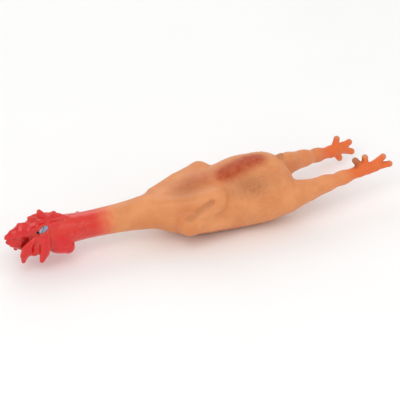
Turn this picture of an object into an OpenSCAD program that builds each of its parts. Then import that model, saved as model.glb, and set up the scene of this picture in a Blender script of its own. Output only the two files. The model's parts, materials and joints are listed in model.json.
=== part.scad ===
// Rubber chicken: a hollow moulded latex skin with a press-in plastic squeaker.
// X runs from the beak to the toes, and the chicken's left side is -Y.
// It lies on its belly at Z = 0, and the origin is the middle of the flat patch that it lies on.

/* [Torso] */
// Length of the torso from the neck's base to the rump
torso_len = 175; // [140:1:215]
// Widest part of the rump
torso_w = 86; // [70:1:104]
// Height of the rump above the belly
torso_h = 82; // [68:1:99]
// Latex wall of the torso
wall = 2.6; // [2:0.1:3.4]

/* [Neck] */
// Length of the bending neck
neck_len = 88; // [72:1:110]
// Diameter of the neck where it meets the head
neck_d = 32; // [26:0.5:38]
// Diameter of the neck where it meets the torso
neck_base_d = 41; // [34:0.5:50]
// Height of the neck's middle line above the surface
neck_z = 39; // [34:0.5:46]

/* [Head] */
// Length of the head without its beak
head_len = 60; // [50:0.5:72]
// Length of the beak
beak_len = 30; // [22:0.5:36]
// Width of the head at the cheeks
head_w = 39; // [33:0.5:46]
// Height of the head at the cheeks, without comb and wattles
head_h = 44; // [38:0.5:50]
// Height of the comb's tallest point above the head
comb_h = 12; // [8:0.5:16]
// Thickness of the comb
comb_t = 5; // [3:0.5:8]
// How far the wattles hang below the head's middle line
wattle_drop = 26; // [20:0.5:30]

/* [Legs] */
// Distance between the two hips
hip_gap = 62; // [50:0.5:70]
// Diameter of a thigh at the hip
thigh_d = 22; // [18:0.5:27]
// Diameter of a shank above the foot
shank_d = 13.5; // [11:0.5:17]
// Length of each of the three bending stretches of a leg
leg_step = 24; // [21:0.5:30]
// Length of the longest toe
toe_len = 26; // [20:0.5:32]
// Diameter of a toe at its root
toe_d = 7.5; // [6:0.5:9]

/* [Squeaker] */
// Diameter of the squeaker's barrel, and of its hole in the skin
squeaker_d = 15.8; // [13:0.1:19.2]
// Length of the squeaker's barrel inside the skin
squeaker_len = 13; // [11:0.5:18]
// Wall of the squeaker's barrel
squeaker_wall = 1.2; // [0.8:0.1:1.6]
// Diameter of the reed tube
reed_tube_d = 6; // [5:0.1:7.5]

/* [Bending] */
// Largest bend at each neck joint, either way
neck_bend = 22; // [10:1:26]
// Largest bend at each hip joint, either way
hip_bend = 20; // [10:1:24]
// Largest bend at the hock, either way
hock_bend = 40; // [20:1:45]
// Largest bend at the ankle, either way
ankle_bend = 25; // [10:1:30]
// How far the back can be squeezed in
squeeze = 14; // [6:0.5:18]
// Gap between two pieces of skin that meet at a bend
clear = 0.35; // [0.3:0.05:0.6]

/* [Hidden] */

latex = [0.86, 0.60, 0.41];
red = [0.84, 0.15, 0.13];
orange = [0.88, 0.45, 0.18];
eye_blue = [0.62, 0.70, 0.80];
plastic = [0.93, 0.92, 0.88];
// Sides of a ring of skin, and of a ball that rounds a limb
sides = 32;
ball_sides = 16;

// How each leg lies: turn and tilt of its thigh, knee, shank and foot
left_lie = [[9, 2], [11, 0], [12, 3], [12, -7]];
right_lie = [[20, -11], [23, -14], [24, -14], [24, -12]];
// Places along X
foot_len = 16;
leg_root = 10;
belly_t = 0.6;
x_chest = -belly_t * torso_len;
x_nape = x_chest - neck_len;
x_face = x_nape - head_len;
x_rump = x_chest + torso_len;

// Which way a ring faces, from its turn about Z and its tilt upwards
function ahead(turn, tilt) = [cos(tilt) * cos(turn), cos(tilt) * sin(turn), sin(tilt)];
function aside(turn) = [-sin(turn), cos(turn), 0];
function above(turn, tilt) = cross(ahead(turn, tilt), aside(turn));

// One ring of points round a station [place, turn, tilt, half width, half height]
function ring(s, inset = 0) = [
    for (i = [0:sides - 1])
        let (a = 360 * i / sides)
        s[0] + (s[3] - inset) * cos(a) * aside(s[1]) + (s[4] - inset) * sin(a) * above(s[1], s[2])
];
function backwards(list) = [for (i = [len(list) - 1:-1:0]) list[i]];
function joined(rings) = [for (r = rings) each r];

// The two triangles between point i of ring k and the next point of the ring after it
function patch(k, next, i) =
    let (j = (i + 1) % sides, a = k * sides, b = next * sides)
    [[a + i, b + j, a + j], [a + i, b + i, b + j]];

// A tube of skin through the stations, open at both ends
module tube_skin(stations, inset) {
    rings = concat([for (s = stations) ring(s)], [for (s = backwards(stations)) ring(s, inset)]);
    n = len(rings);
    faces = [for (k = [0:n - 1]) for (i = [0:sides - 1]) each patch(k, (k + 1) % n, i)];
    polyhedron(joined(rings), faces);
}

// A closed form through rings of points, with a point beyond each end
module closed_form(rings, first, last) {
    n = len(rings);
    faces = concat(
        [for (i = [0:sides - 1]) [n * sides, i, (i + 1) % sides]],
        [for (k = [0:n - 2]) for (i = [0:sides - 1]) each patch(k, k + 1, i)],
        [for (i = [0:sides - 1]) [n * sides + 1, (n - 1) * sides + (i + 1) % sides, (n - 1) * sides + i]]
    );
    polyhedron(concat(joined(rings), [first, last]), faces);
}

// Skin that is open at its first station and closed at a tip beyond its last one
module blind_skin(stations, inset, tip) {
    inner = [for (s = backwards(stations)) ring([s[0] - inset * ahead(s[1], s[2]), s[1], s[2], s[3], s[4]], inset)];
    first = stations[0];
    mouth = ring(first, inset);
    inside = concat([for (k = [0:len(inner) - 2]) inner[k]], [mouth]);
    closed_form(concat(inside, [for (s = stations) ring(s)]), tip - inset * ahead(first[1], first[2]), tip);
}

// A rounded limb through balls [place, radius]
module limb(balls) {
    for (k = [0:len(balls) - 2]) {
        hull() {
            translate(balls[k][0]) sphere(balls[k][1], $fn = ball_sides);
            translate(balls[k + 1][0]) sphere(balls[k + 1][1], $fn = ball_sides);
        }
    }
}

// Half the gap that a tube of this radius needs at a hinge that bends this far
function half_gap(r, bend) = r * tan(bend / 2) + clear;

// ---- torso ----
// Along the torso: share of its length, half width, half height, height of its underside
torso_shape = [
    [0.07, 0.57, 0.58, 0.165], [0.14, 0.68, 0.67, 0.10], [0.22, 0.78, 0.77, 0.045],
    [0.30, 0.85, 0.86, 0.01], [0.38, 0.87, 0.90, -0.015], [0.46, 0.875, 0.91, -0.015],
    [0.54, 0.94, 0.965, -0.015], [0.64, 1, 1, -0.015], [0.75, 1, 0.995, -0.015],
    [0.84, 0.965, 0.955, 0.01], [0.90, 0.89, 0.88, 0.045], [0.95, 0.76, 0.74, 0.115],
    [0.98, 0.56, 0.54, 0.22], [0.995, 0.3, 0.3, 0.34]
];
function torso_station(p) =
    let (c = p[2] * torso_h / 2)
    [[x_chest + p[0] * torso_len, 0, p[3] * torso_h + c], 0, 0, p[1] * torso_w / 2, c];
chest_ring = [[x_chest, 0, neck_z], 0, 0, neck_base_d / 2, neck_base_d / 2];
torso_stations = concat([chest_ring], [for (p = torso_shape) torso_station(p)]);
rump_tip = [x_rump, 0, 0.49 * torso_h];

// A place on the torso: share of its length, angle up from its side, and height off its skin
function torso_at(side, t, up, off) =
    let (
        w = lookup(t, [for (p = torso_shape) [p[0], p[1]]]) * torso_w / 2,
        h = lookup(t, [for (p = torso_shape) [p[0], p[2]]]) * torso_h / 2,
        low = lookup(t, [for (p = torso_shape) [p[0], p[3]]]) * torso_h
    )
    [x_chest + t * torso_len, side * (w + off) * cos(up), low + h + (h + off) * sin(up)];

module torso_form() {
    nose = chest_ring[0] - [1, 0, 0];
    closed_form([for (s = torso_stations) ring(s)], nose, rump_tip);
}

// Upright oval prism over the back, that the squeezed panel is cut with
back_x = x_chest + 0.55 * torso_len;
back_half_len = 0.24 * torso_len;
back_half_w = 0.22 * torso_w;
back_ring_w = 4;
module back_prism(grow) {
    oval = [for (a = [0:10:350]) [(back_half_len + grow) * cos(a), (back_half_w + grow) * sin(a)]];
    translate([back_x, 0, torso_h / 2 + squeeze / 2]) linear_extrude(torso_h) polygon(oval);
}

// The squeaker's hole, under the rump and facing down and back
vent_t = 0.943;
vent_tilt = 36;
vent = [x_chest + vent_t * torso_len, 0, lookup(vent_t, [for (p = torso_shape) [p[0], p[3]]]) * torso_h];
flange_r = squeaker_d / 2 + 2;
flange_t = 1.2;
boss_r = flange_r + 1.2;
boss_depth = 5;
module at_vent() {
    translate(vent) rotate([0, -vent_tilt, 0]) children();
}

hip_z = 43;
hip_r = thigh_d / 2;
hip_root_r = hip_r + 4;
function side_lie(side) = side < 0 ? left_lie : right_lie;
function leg_point(side, k) =
    k == 0 ? [x_rump + leg_root, side * hip_gap / 2, hip_z]
    : leg_point(side, k - 1) + leg_step * leg_ahead(side, k - 1);
function leg_ahead(side, k) = ahead(side_lie(side)[k][0], side_lie(side)[k][1]);

module hip_bore(side) {
    length = 30;
    translate(leg_point(side, 0)) rotate([0, 90, 0])
        translate([0, 0, -length]) cylinder(h = length, r = hip_r - wall - 1, $fn = 48);
}

module torso_skin() {
    color(latex) difference() {
        union() {
            blind_skin(torso_stations, wall, rump_tip);
            at_vent() cylinder(h = boss_depth, r = boss_r, $fn = 48);
        }
        back_prism(back_ring_w);
        at_vent() translate([0, 0, -flange_r]) cylinder(h = flange_r, r = boss_r + 3, $fn = 48);
        at_vent() cylinder(h = boss_depth + flange_r, r = squeaker_d / 2 / cos(180 / 64), $fn = 64);
        at_vent() translate([0, 0, boss_depth]) cylinder(h = squeaker_len, r = boss_r, $fn = 48);
        hip_bore(-1);
        hip_bore(1);
        translate([x_chest, -torso_w, -torso_h]) cube([torso_len, 2 * torso_w, torso_h]);
    }
}

module back_panel() {
    color(latex) intersection() {
        blind_skin(torso_stations, wall, rump_tip);
        back_prism(0);
    }
}

module back_flex() {
    color(latex) intersection() {
        blind_skin(torso_stations, wall, rump_tip);
        difference() {
            back_prism(back_ring_w - clear);
            translate([0, 0, -1]) back_prism(clear);
        }
    }
}

// A folded wing: shoulder, elbow, wrist and tip, each [share of length, angle up, height, radius]
wing_joints = [[0.12, 46, -5, 9], [0.45, 34, -4, 11], [0.22, -4, -6, 12], [0.46, -24, -4, 8]];
wing_steps = 4;
module wing(side) {
    balls = [
        for (k = [0:2]) for (i = [0:wing_steps - (k < 2 ? 1 : 0)])
            let (p = wing_joints[k] + i / wing_steps * (wing_joints[k + 1] - wing_joints[k]))
            [torso_at(side, p[0], p[1], p[2]), p[3]]
    ];
    color(latex) difference() {
        limb(balls);
        torso_form();
    }
}
module left_wing() { wing(-1); }
module right_wing() { wing(1); }

module tail_nub() {
    root = torso_at(1, 0.93, 90, -6);
    color([0.55, 0.30, 0.16]) difference() {
        limb([for (i = [0:8]) [root + i * [0.9, 0, 1.3], 5 - 0.35 * i]]);
        torso_form();
    }
}

module hip(side) {
    hip_len = leg_root + 34;
    start = leg_point(side, 0) - [hip_len, 0, 0];
    end = leg_point(side, 0) - [leg_gap(side, 0), 0, 0];
    color(latex) difference() {
        tube_skin([
            [start, 0, 0, 0.6 * hip_r, 0.6 * hip_r],
            [start + [0.4 * hip_len, 0, 0], 0, 0, hip_root_r, hip_root_r],
            [start + [0.62 * hip_len, 0, 0], 0, 0, hip_root_r, hip_root_r],
            [start + [0.78 * hip_len, 0, 0], 0, 0, hip_r + 2, hip_r + 2],
            [end, 0, 0, hip_r, hip_r]
        ], wall);
        torso_form();
    }
}
module left_hip() { hip(-1); }
module right_hip() { hip(1); }

// ---- neck ----
neck_reach = 4;
neck_pitch = (neck_len - 2 * neck_reach) / 4;
neck_bends = [neck_bend, neck_bend, 14, neck_bend, neck_bend];
function neck_pivot(k) = [x_chest - neck_reach - k * neck_pitch, 0, neck_z];
neck_slimming = [[0, 1], [0.12, 0.8], [0.3, 0.38], [0.55, 0.1], [0.8, 0], [1, 0]];
function neck_r(x) = neck_d / 2 + (neck_base_d - neck_d) / 2 * lookup((x_chest - x) / neck_len, neck_slimming);
function neck_gap(k) = half_gap(neck_r(neck_pivot(k)[0]), neck_bends[k]);
function neck_station(x) = [[x, 0, neck_z], 0, 0, neck_r(x), neck_r(x)];

module neck_piece(k) {
    low = neck_pivot(k)[0] + neck_gap(k);
    high = neck_pivot(k - 1)[0] - neck_gap(k - 1);
    color(k > 2 ? red : latex)
        tube_skin([for (i = [0:2]) neck_station(low + i / 2 * (high - low))], wall);
}
module neck_1() { neck_piece(1); }
module neck_2() { neck_piece(2); }
module neck_3() { neck_piece(3); }
module neck_4() { neck_piece(4); }

// The stretch of skin that gives at a neck joint
module neck_flex(k) {
    x = neck_pivot(k)[0];
    reach = neck_gap(k) - clear;
    high = k == 0 ? min(x + reach, x_chest - clear) : x + reach;
    color(k > 1 ? red : latex)
        tube_skin([neck_station(x - reach), neck_station(high)], wall);
}
module neck_flex_1() { neck_flex(0); }
module neck_flex_2() { neck_flex(1); }
module neck_flex_3() { neck_flex(2); }
module neck_flex_4() { neck_flex(3); }
module head_flex() { neck_flex(4); }

// ---- head ----
// Along the head from nape to face: share of its length, half width, half height, rise of its middle
head_shape = [
    [0.84, 0.92, 0.88, -1], [0.64, 1, 1, -1], [0.42, 0.97, 1, 0],
    [0.2, 0.84, 0.89, 2], [0.05, 0.66, 0.7, 3], [-0.02, 0.5, 0.52, 3.5]
];
nape_x = x_nape + neck_reach - neck_gap(4);
head_stations = concat(
    [[[nape_x, 0, neck_z], 180, 0, neck_d / 2, neck_d / 2]],
    [for (p = head_shape)
        [[x_face + p[0] * head_len, 0, neck_z + p[3]], 180, 0, p[1] * head_w / 2, p[2] * head_h / 2]]
);
face_tip = [x_face - 0.06 * head_len, 0, neck_z + 3.5];
function head_at(side, t, up, off) =
    let (
        shape = backwards(head_shape),
        w = lookup(t, [for (p = shape) [p[0], p[1]]]) * head_w / 2,
        h = lookup(t, [for (p = shape) [p[0], p[2]]]) * head_h / 2,
        rise = lookup(t, [for (p = shape) [p[0], p[3]]])
    )
    [x_face + t * head_len, side * (w + off) * cos(up), neck_z + rise + (h + off) * sin(up)];

module head_form() {
    closed_form([for (s = head_stations) ring(s)], head_stations[0][0] + [1, 0, 0], face_tip);
}
module head_skin() { color(red) blind_skin(head_stations, wall, face_tip); }

// One half of the beak: rise of its root and of its tip above the neck's line, half height, length
module beak_form(root_z, tip_z, h, length) {
    root_x = x_face + 4;
    w = 0.27 * head_w;
    shares = [[0, 1], [0.35, 0.93], [0.65, 0.8], [0.85, 0.6], [0.96, 0.32]];
    stations = [
        for (p = shares)
            [[root_x - p[0] * (length + 4), 0, neck_z + root_z + p[0] * (tip_z - root_z)], 180, 0, p[1] * w, p[1] * h]
    ];
    tip = [x_face - length, 0, neck_z + tip_z];
    closed_form([for (s = stations) ring(s)], [root_x + 1, 0, neck_z + root_z], tip);
}
module upper_beak_form() { beak_form(8.5, 5.5, 7, beak_len); }
module lower_beak_form() { beak_form(-6, -4, 6, beak_len - 1.5); }
module upper_beak() {
    color(red) difference() {
        upper_beak_form();
        head_form();
    }
}
module lower_beak() {
    color(red) difference() {
        lower_beak_form();
        head_form();
    }
}

// The comb: a low ridge over the head with flat pointed lobes.
// Each lobe is [front and back of its root, and its tip, as shares of the head's length, share of the comb's height]
comb_lobes = [
    [-0.1, 0.02, -0.22, 0.5], [0.06, 0.18, 0, 0.75], [0.2, 0.36, 0.19, 1],
    [0.38, 0.58, 0.48, 0.92], [0.58, 0.7, 0.72, 0.5]
];
module comb() {
    r = comb_t / 2;
    tip_r = 1.3;
    ridge_steps = 8;
    color(red) difference() {
        union() {
            limb([for (i = [0:ridge_steps]) [head_at(1, -0.02 + 0.09 * i, 90, -1), r + 0.3]]);
            for (p = comb_lobes) {
                hull() {
                    translate(head_at(1, max(p[0], -0.02), 90, -1.5)) sphere(r, $fn = ball_sides);
                    translate(head_at(1, max(p[1], -0.02), 90, -1.5)) sphere(r, $fn = ball_sides);
                    translate([x_face + p[2] * head_len, 0, head_at(1, max(p[2], 0.04), 90, 0)[2] + comb_h * p[3] - tip_r])
                        sphere(tip_r, $fn = ball_sides);
                }
            }
        }
        head_form();
        upper_beak_form();
    }
}

// A wattle of two pointed lobes, each a list of [share of head length, distance to the side, drop, radius]
front_lobe = [[0.12, 0.30, 0.1, 8], [0.02, 0.36, 0.4, 7], [-0.09, 0.37, 0.68, 4.6], [-0.17, 0.36, 0.93, 1.8]];
rear_lobe = [[0.38, 0.38, 0.15, 9], [0.29, 0.44, 0.42, 7.5], [0.2, 0.48, 0.7, 4.8], [0.14, 0.5, 0.93, 1.8]];
module wattle(side) {
    lobe_steps = 2;
    color(red) difference() {
        for (lobe = [front_lobe, rear_lobe]) {
            limb([
                for (k = [0:2]) for (i = [0:lobe_steps - (k < 2 ? 1 : 0)])
                    let (p = lobe[k] + i / lobe_steps * (lobe[k + 1] - lobe[k]))
                    [[x_face + p[0] * head_len, side * p[1] * head_w, neck_z - p[2] * wattle_drop], p[3]]
            ]);
        }
        head_form();
        lower_beak_form();
    }
}
module left_wattle() { wattle(-1); }
module right_wattle() { wattle(1); }

// The rounded lobe behind the wattle
module cheek(side) {
    cheek_steps = 8;
    color(red) difference() {
        limb([
            for (i = [0:cheek_steps])
                [
                    [
                        x_face + (0.60 + 0.022 * i) * head_len,
                        side * 0.39 * head_w,
                        neck_z - 3 - 1.7 * i
                    ],
                    8.5
                ]
        ]);
        head_form();
        wattle(side);
    }
}
module left_cheek() { cheek(-1); }
module right_cheek() { cheek(1); }

// An almond eye that stands a little proud of the head
module eye(side) {
    color(eye_blue) difference() {
        limb([
            for (i = [0:8])
                let (s = i / 8 - 0.5)
                [head_at(side, 0.28 + 0.2 * s, 42 - 10 * s, -1.4), 1 + 2.4 * cos(170 * s)]
        ]);
        head_form();
        comb();
    }
}
module left_eye() { eye(-1); }
module right_eye() { eye(1); }

// ---- legs ----
leg_bends = [hip_bend, 25, hock_bend, ankle_bend];
leg_slimming = [[0, 0], [1, 0.42], [2, 0.8], [2.5, 0.94], [3, 1], [4, 1]];
function leg_r(step) = hip_r + (shank_d / 2 - hip_r) * lookup(step, leg_slimming);
// Directions before and after a bend as the leg lies, and the half gap there with that turn added
function lie_before(side, k) = k == 0 ? [0, 0] : side_lie(side)[k - 1];
function ahead_of(lie) = ahead(lie[0], lie[1]);
function lie_turn(side, k) = acos(min(1, ahead_of(lie_before(side, k)) * ahead_of(side_lie(side)[k])));
function leg_gap(side, k) = half_gap(leg_r(k), leg_bends[k] + lie_turn(side, k));

// A stretch of leg between two bends, k = 1 thigh, 2 knee, 3 shank
module leg_piece(side, k) {
    lie = side_lie(side)[k - 1];
    from = leg_gap(side, k - 1);
    to = leg_step - leg_gap(side, k);
    tube_skin([
        for (i = [0:2])
            let (d = from + i / 2 * (to - from), r = leg_r(k - 1 + d / leg_step))
            [leg_point(side, k - 1) + d * ahead(lie[0], lie[1]), lie[0], lie[1], r, r]
    ], wall);
}

// The stretch of skin that gives at a bend of the leg
module leg_flex(side, k) {
    lie = side_lie(side);
    before = lie_before(side, k);
    after = lie[k];
    reach = leg_gap(side, k) - clear;
    r = leg_r(k);
    p = leg_point(side, k);
    tube_skin([
        [p - reach * ahead(before[0], before[1]), before[0], before[1], r, r],
        [p + reach * ahead(after[0], after[1]), after[0], after[1], r, r]
    ], wall);
}

// The foot's pad, from the ankle to the roots of the toes
module foot_form(side) {
    lie = side_lie(side)[3];
    p = leg_point(side, 3);
    from = leg_gap(side, 3);
    r = shank_d / 2;
    shares = [[0, 1, 1], [0.4, 1.02, 0.95], [0.75, 0.98, 0.85], [0.95, 0.78, 0.65]];
    stations = [
        for (s = shares)
            [p + (from + s[0] * (foot_len - from)) * ahead(lie[0], lie[1]), lie[0], lie[1], s[1] * r, s[2] * r]
    ];
    closed_form(
        [for (s = stations) ring(s)],
        p + (from - 0.5) * ahead(lie[0], lie[1]),
        p + (foot_len + 1.5) * ahead(lie[0], lie[1])
    );
}

// Toes in order round the foot, each [angle in the fan, share of the longest, share of the foot where it starts]
left_fan = [[0, 1, 0.8], [34, 0.9, 0.75], [66, 0.75, 0.7], [104, 0.55, 0.62]];
right_fan = [[-70, 0.55, 0.62], [-14, 0.95, 0.8], [30, 1, 0.75], [80, 0.75, 0.68]];
module toes(side) {
    lie = side_lie(side)[3];
    along_foot = ahead(lie[0], lie[1]);
    up = (above(lie[0], lie[1]) + 0.35 * aside(lie[0])) / norm([1, 0.35]);
    fan = side < 0 ? left_fan : right_fan;
    toe_r = toe_d / 2;
    tip_r = 2.2;
    web_r = 1.5;
    roots = [for (t = fan) leg_point(side, 3) + t[2] * foot_len * along_foot];
    ways = [for (t = fan) cos(t[0]) * along_foot + sin(t[0]) * up];
    reaches = [for (t = fan) (toe_len + foot_len * (1 - t[2]) - tip_r) * t[1]];
    difference() {
        union() {
            for (i = [0:3]) {
                limb([
                    [roots[i], toe_r],
                    [roots[i] + 0.55 * reaches[i] * ways[i], 0.8 * toe_r],
                    [roots[i] + reaches[i] * ways[i], tip_r]
                ]);
            }
            // Webs that join each toe to the next
            for (i = [0:2]) {
                hull() {
                    translate(roots[i]) sphere(web_r, $fn = ball_sides);
                    for (j = [i, i + 1]) {
                        translate(roots[j] + 0.62 * reaches[j] * ways[j]) sphere(web_r, $fn = ball_sides);
                    }
                }
            }
        }
        foot_form(side);
    }
}

module left_hip_flex() { color(latex) leg_flex(-1, 0); }
module left_thigh() { color(latex) leg_piece(-1, 1); }
module left_thigh_flex() { color(latex) leg_flex(-1, 1); }
module left_knee() { color(latex) leg_piece(-1, 2); }
module left_hock_flex() { color(latex) leg_flex(-1, 2); }
module left_shank() { color(latex) leg_piece(-1, 3); }
module left_ankle_flex() { color(orange) leg_flex(-1, 3); }
module left_foot() { color(orange) foot_form(-1); }
module left_toes() { color(orange) toes(-1); }
module right_hip_flex() { color(latex) leg_flex(1, 0); }
module right_thigh() { color(latex) leg_piece(1, 1); }
module right_thigh_flex() { color(latex) leg_flex(1, 1); }
module right_knee() { color(latex) leg_piece(1, 2); }
module right_hock_flex() { color(latex) leg_flex(1, 2); }
module right_shank() { color(latex) leg_piece(1, 3); }
module right_ankle_flex() { color(orange) leg_flex(1, 3); }
module right_foot() { color(orange) foot_form(1); }
module right_toes() { color(orange) toes(1); }

// ---- squeaker ----
barrel_r = squeaker_d / 2;
snap_r = barrel_r + 1.1;
snap_t = 1.4;
floor_t = 1.6;
barrel_bore = barrel_r - squeaker_wall;
reed_r = reed_tube_d / 2;
reed_wall = 0.8;
reed_len = squeaker_len - floor_t - 2;
tongue_t = 0.2;
tongue_gap = 0.15;
wedge_len = 2.6;
wedge_play = 0.1;
// Half the width of the tongue and of its wedge, inside the reed tube's bore
tongue_half = 0.5 * (reed_r - reed_wall);

// The barrel: a flange outside the skin, a snap ridge inside it, and a floor that holds the reed tube
module squeaker_barrel() {
    color(plastic) at_vent() difference() {
        union() {
            translate([0, 0, -flange_t]) cylinder(h = flange_t, r = flange_r, $fn = 64);
            cylinder(h = squeaker_len, r = barrel_r, $fn = 64);
            translate([0, 0, boss_depth]) cylinder(h = snap_t, r1 = snap_r, r2 = barrel_r, $fn = 64);
        }
        translate([0, 0, floor_t - flange_t]) cylinder(h = squeaker_len + flange_t, r = barrel_bore, $fn = 64);
        translate([0, 0, -2 * flange_t]) cylinder(h = floor_t + 3 * flange_t, r = reed_r, $fn = 48);
    }
}

// The guard that closes the barrel's inner end, with air holes
module squeaker_guard() {
    hole_r = 1;
    guard_t = 1;
    color(plastic) at_vent() translate([0, 0, squeaker_len]) difference() {
        cylinder(h = guard_t, r = barrel_r, $fn = 64);
        for (a = [0:60:300]) {
            rotate(a) translate([barrel_bore * 0.62, 0, -guard_t]) cylinder(h = 3 * guard_t, r = hole_r, $fn = 24);
        }
    }
}

// The tube that the air sounds in: a half tube with a flat face, round where the floor holds it
module reed_tube() {
    grip = floor_t + wedge_len;
    color("ivory") at_vent() translate([0, 0, -flange_t]) difference() {
        cylinder(h = reed_len + flange_t, r = reed_r, $fn = 48);
        translate([0, 0, -1]) cylinder(h = reed_len + flange_t, r = reed_r - reed_wall, $fn = 48);
        translate([0, -reed_r, grip]) cube([reed_r, 2 * reed_r, reed_len]);
    }
}

// The wedge that holds the tongue's root against the tube
module reed_wedge() {
    side = tongue_gap + tongue_t + wedge_play;
    depth = 0.8 * (reed_r - reed_wall) - side;
    color(plastic) at_vent() translate([side, -tongue_half, floor_t])
        cube([depth, 2 * tongue_half, wedge_len]);
}

// The thin tongue that sounds
module reed_tongue() {
    tip_margin = 0.6;
    color("goldenrod") at_vent() translate([tongue_gap, -tongue_half, floor_t])
        cube([tongue_t, 2 * tongue_half, reed_len - floor_t - tip_margin]);
}

torso_skin();
back_panel();
back_flex();
left_wing();
right_wing();
tail_nub();
left_hip();
right_hip();
neck_flex_1();
neck_1();
neck_flex_2();
neck_2();
neck_flex_3();
neck_3();
neck_flex_4();
neck_4();
head_flex();
head_skin();
upper_beak();
lower_beak();
comb();
left_wattle();
right_wattle();
left_cheek();
right_cheek();
left_eye();
right_eye();
left_hip_flex();
left_thigh();
left_thigh_flex();
left_knee();
left_hock_flex();
left_shank();
left_ankle_flex();
left_foot();
left_toes();
right_hip_flex();
right_thigh();
right_thigh_flex();
right_knee();
right_hock_flex();
right_shank();
right_ankle_flex();
right_foot();
right_toes();
squeaker_barrel();
squeaker_guard();
reed_tube();
reed_wedge();
reed_tongue();
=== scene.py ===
import json
import math

import bmesh
import bpy
import numpy as np
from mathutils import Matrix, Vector


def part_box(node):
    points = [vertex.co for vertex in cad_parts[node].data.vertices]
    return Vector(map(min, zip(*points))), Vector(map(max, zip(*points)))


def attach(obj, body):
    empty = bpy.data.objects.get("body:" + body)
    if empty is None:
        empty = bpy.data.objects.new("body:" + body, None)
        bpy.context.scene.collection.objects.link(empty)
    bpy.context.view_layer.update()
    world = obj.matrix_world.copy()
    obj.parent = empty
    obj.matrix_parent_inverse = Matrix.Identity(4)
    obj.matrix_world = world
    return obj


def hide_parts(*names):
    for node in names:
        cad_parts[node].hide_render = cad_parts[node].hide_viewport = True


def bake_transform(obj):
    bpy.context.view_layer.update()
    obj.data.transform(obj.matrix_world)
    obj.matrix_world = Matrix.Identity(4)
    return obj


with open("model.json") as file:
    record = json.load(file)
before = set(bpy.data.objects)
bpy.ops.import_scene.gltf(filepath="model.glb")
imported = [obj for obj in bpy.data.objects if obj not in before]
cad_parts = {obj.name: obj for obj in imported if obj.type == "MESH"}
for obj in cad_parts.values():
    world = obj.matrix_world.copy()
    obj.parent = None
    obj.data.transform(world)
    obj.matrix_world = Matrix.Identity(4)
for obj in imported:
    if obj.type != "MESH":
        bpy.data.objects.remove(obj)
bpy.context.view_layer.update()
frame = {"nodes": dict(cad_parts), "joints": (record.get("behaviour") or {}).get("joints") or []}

bl_info = {
    "name": "Rubber Chicken",
    "version": (1, 0, 0),
    "blender": (4, 5, 0),
    "location": "3D View > Sidebar > Chicken",
    "description": "Moulds, paints and stages a squeaky latex chicken",
    "category": "Add Mesh",
}

# Everything is shaped in millimetres and turned into metres when its mesh is made.
MM = 0.001
SIDES = {"left": -1, "right": 1}
PIVOT = {j["name"]: np.array(j["pos_m"]) / MM for j in frame["joints"] if j["type"] == "hinge"}
NECK_JOINTS = ("neck_base_nod", "neck_low_turn", "neck_twist", "neck_top_nod", "head_turn")
LEG_JOINTS = ("hip_lift", "leg_spread", "hock_bend", "ankle_bend")


def corner(node, which):
    """The lowest (0) or highest (1) corner of a CAD node, in millimetres."""
    return np.array(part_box(node)[which]) / MM


CHEST_X = corner("torso_skin", 0)[0]
RUMP_X = corner("torso_skin", 1)[0]
TORSO_LEN = RUMP_X - CHEST_X
TORSO_R = corner("torso_skin", 1)[1]
NECK_X = [PIVOT[name][0] for name in NECK_JOINTS]
NECK_Z = PIVOT["neck_twist"][2]
NECK_R = corner("head_flex", 1)[1]
CHEST_R = corner("neck_flex_1", 1)[1]
FACE_X = NECK_X[4] - 64
BEAK_LEN = FACE_X - corner("upper_beak", 0)[0]
# where the torso's own skin stops, before the first neck hinge and before the hips
CHEST_CUT = NECK_X[0] + 10
HIP_CUT = PIVOT["left_hip_lift"][0] - 6


def leg_line(side):
    """Hip, knee, hock, ankle and the end of the foot."""
    points = [PIVOT[f"{side}_{joint}"] for joint in LEG_JOINTS]
    low, high = corner(f"{side}_foot", 0), corner(f"{side}_foot", 1)
    middle = (low + high) / 2
    way = middle - points[3]
    points.append(points[3] + way / np.linalg.norm(way) * 16)
    return points


# ---- colours and shader maths ----


def srgb(r, g, b):
    """A colour given as it looks, 0 to 255, turned into the linear values that shaders take."""
    def line(c):
        c = c / 255
        return c / 12.92 if c <= 0.04045 else ((c + 0.055) / 1.055) ** 2.4
    return (line(r), line(g), line(b), 1.0)


class Wire:
    """One output socket of a shader, which can be added, multiplied and so on."""

    def __init__(self, bench, socket):
        self.bench = bench
        self.socket = socket

    def maths(self, operation, *values):
        node = self.bench.add("ShaderNodeMath", {"operation": operation}, dict(enumerate(values)))
        return self.bench.out(node)

    def __add__(self, other):
        return self.maths("ADD", self, other)

    def __sub__(self, other):
        return self.maths("SUBTRACT", self, other)

    def __rsub__(self, other):
        return self.maths("SUBTRACT", other, self)

    def __mul__(self, other):
        return self.maths("MULTIPLY", self, other)

    def __truediv__(self, other):
        return self.maths("DIVIDE", self, other)

    def __rtruediv__(self, other):
        return self.maths("DIVIDE", other, self)

    __radd__ = __add__
    __rmul__ = __mul__

    def clamped(self):
        return self.bench.out(self.bench.add("ShaderNodeClamp", {}, {0: self}))

    def between(self, low, high):
        """0 below low, 1 above high, and smooth between them."""
        node = self.bench.add(
            "ShaderNodeMapRange", {"interpolation_type": "SMOOTHSTEP"},
            {"Value": self, "From Min": low, "From Max": high},
        )
        return self.bench.out(node)


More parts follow.
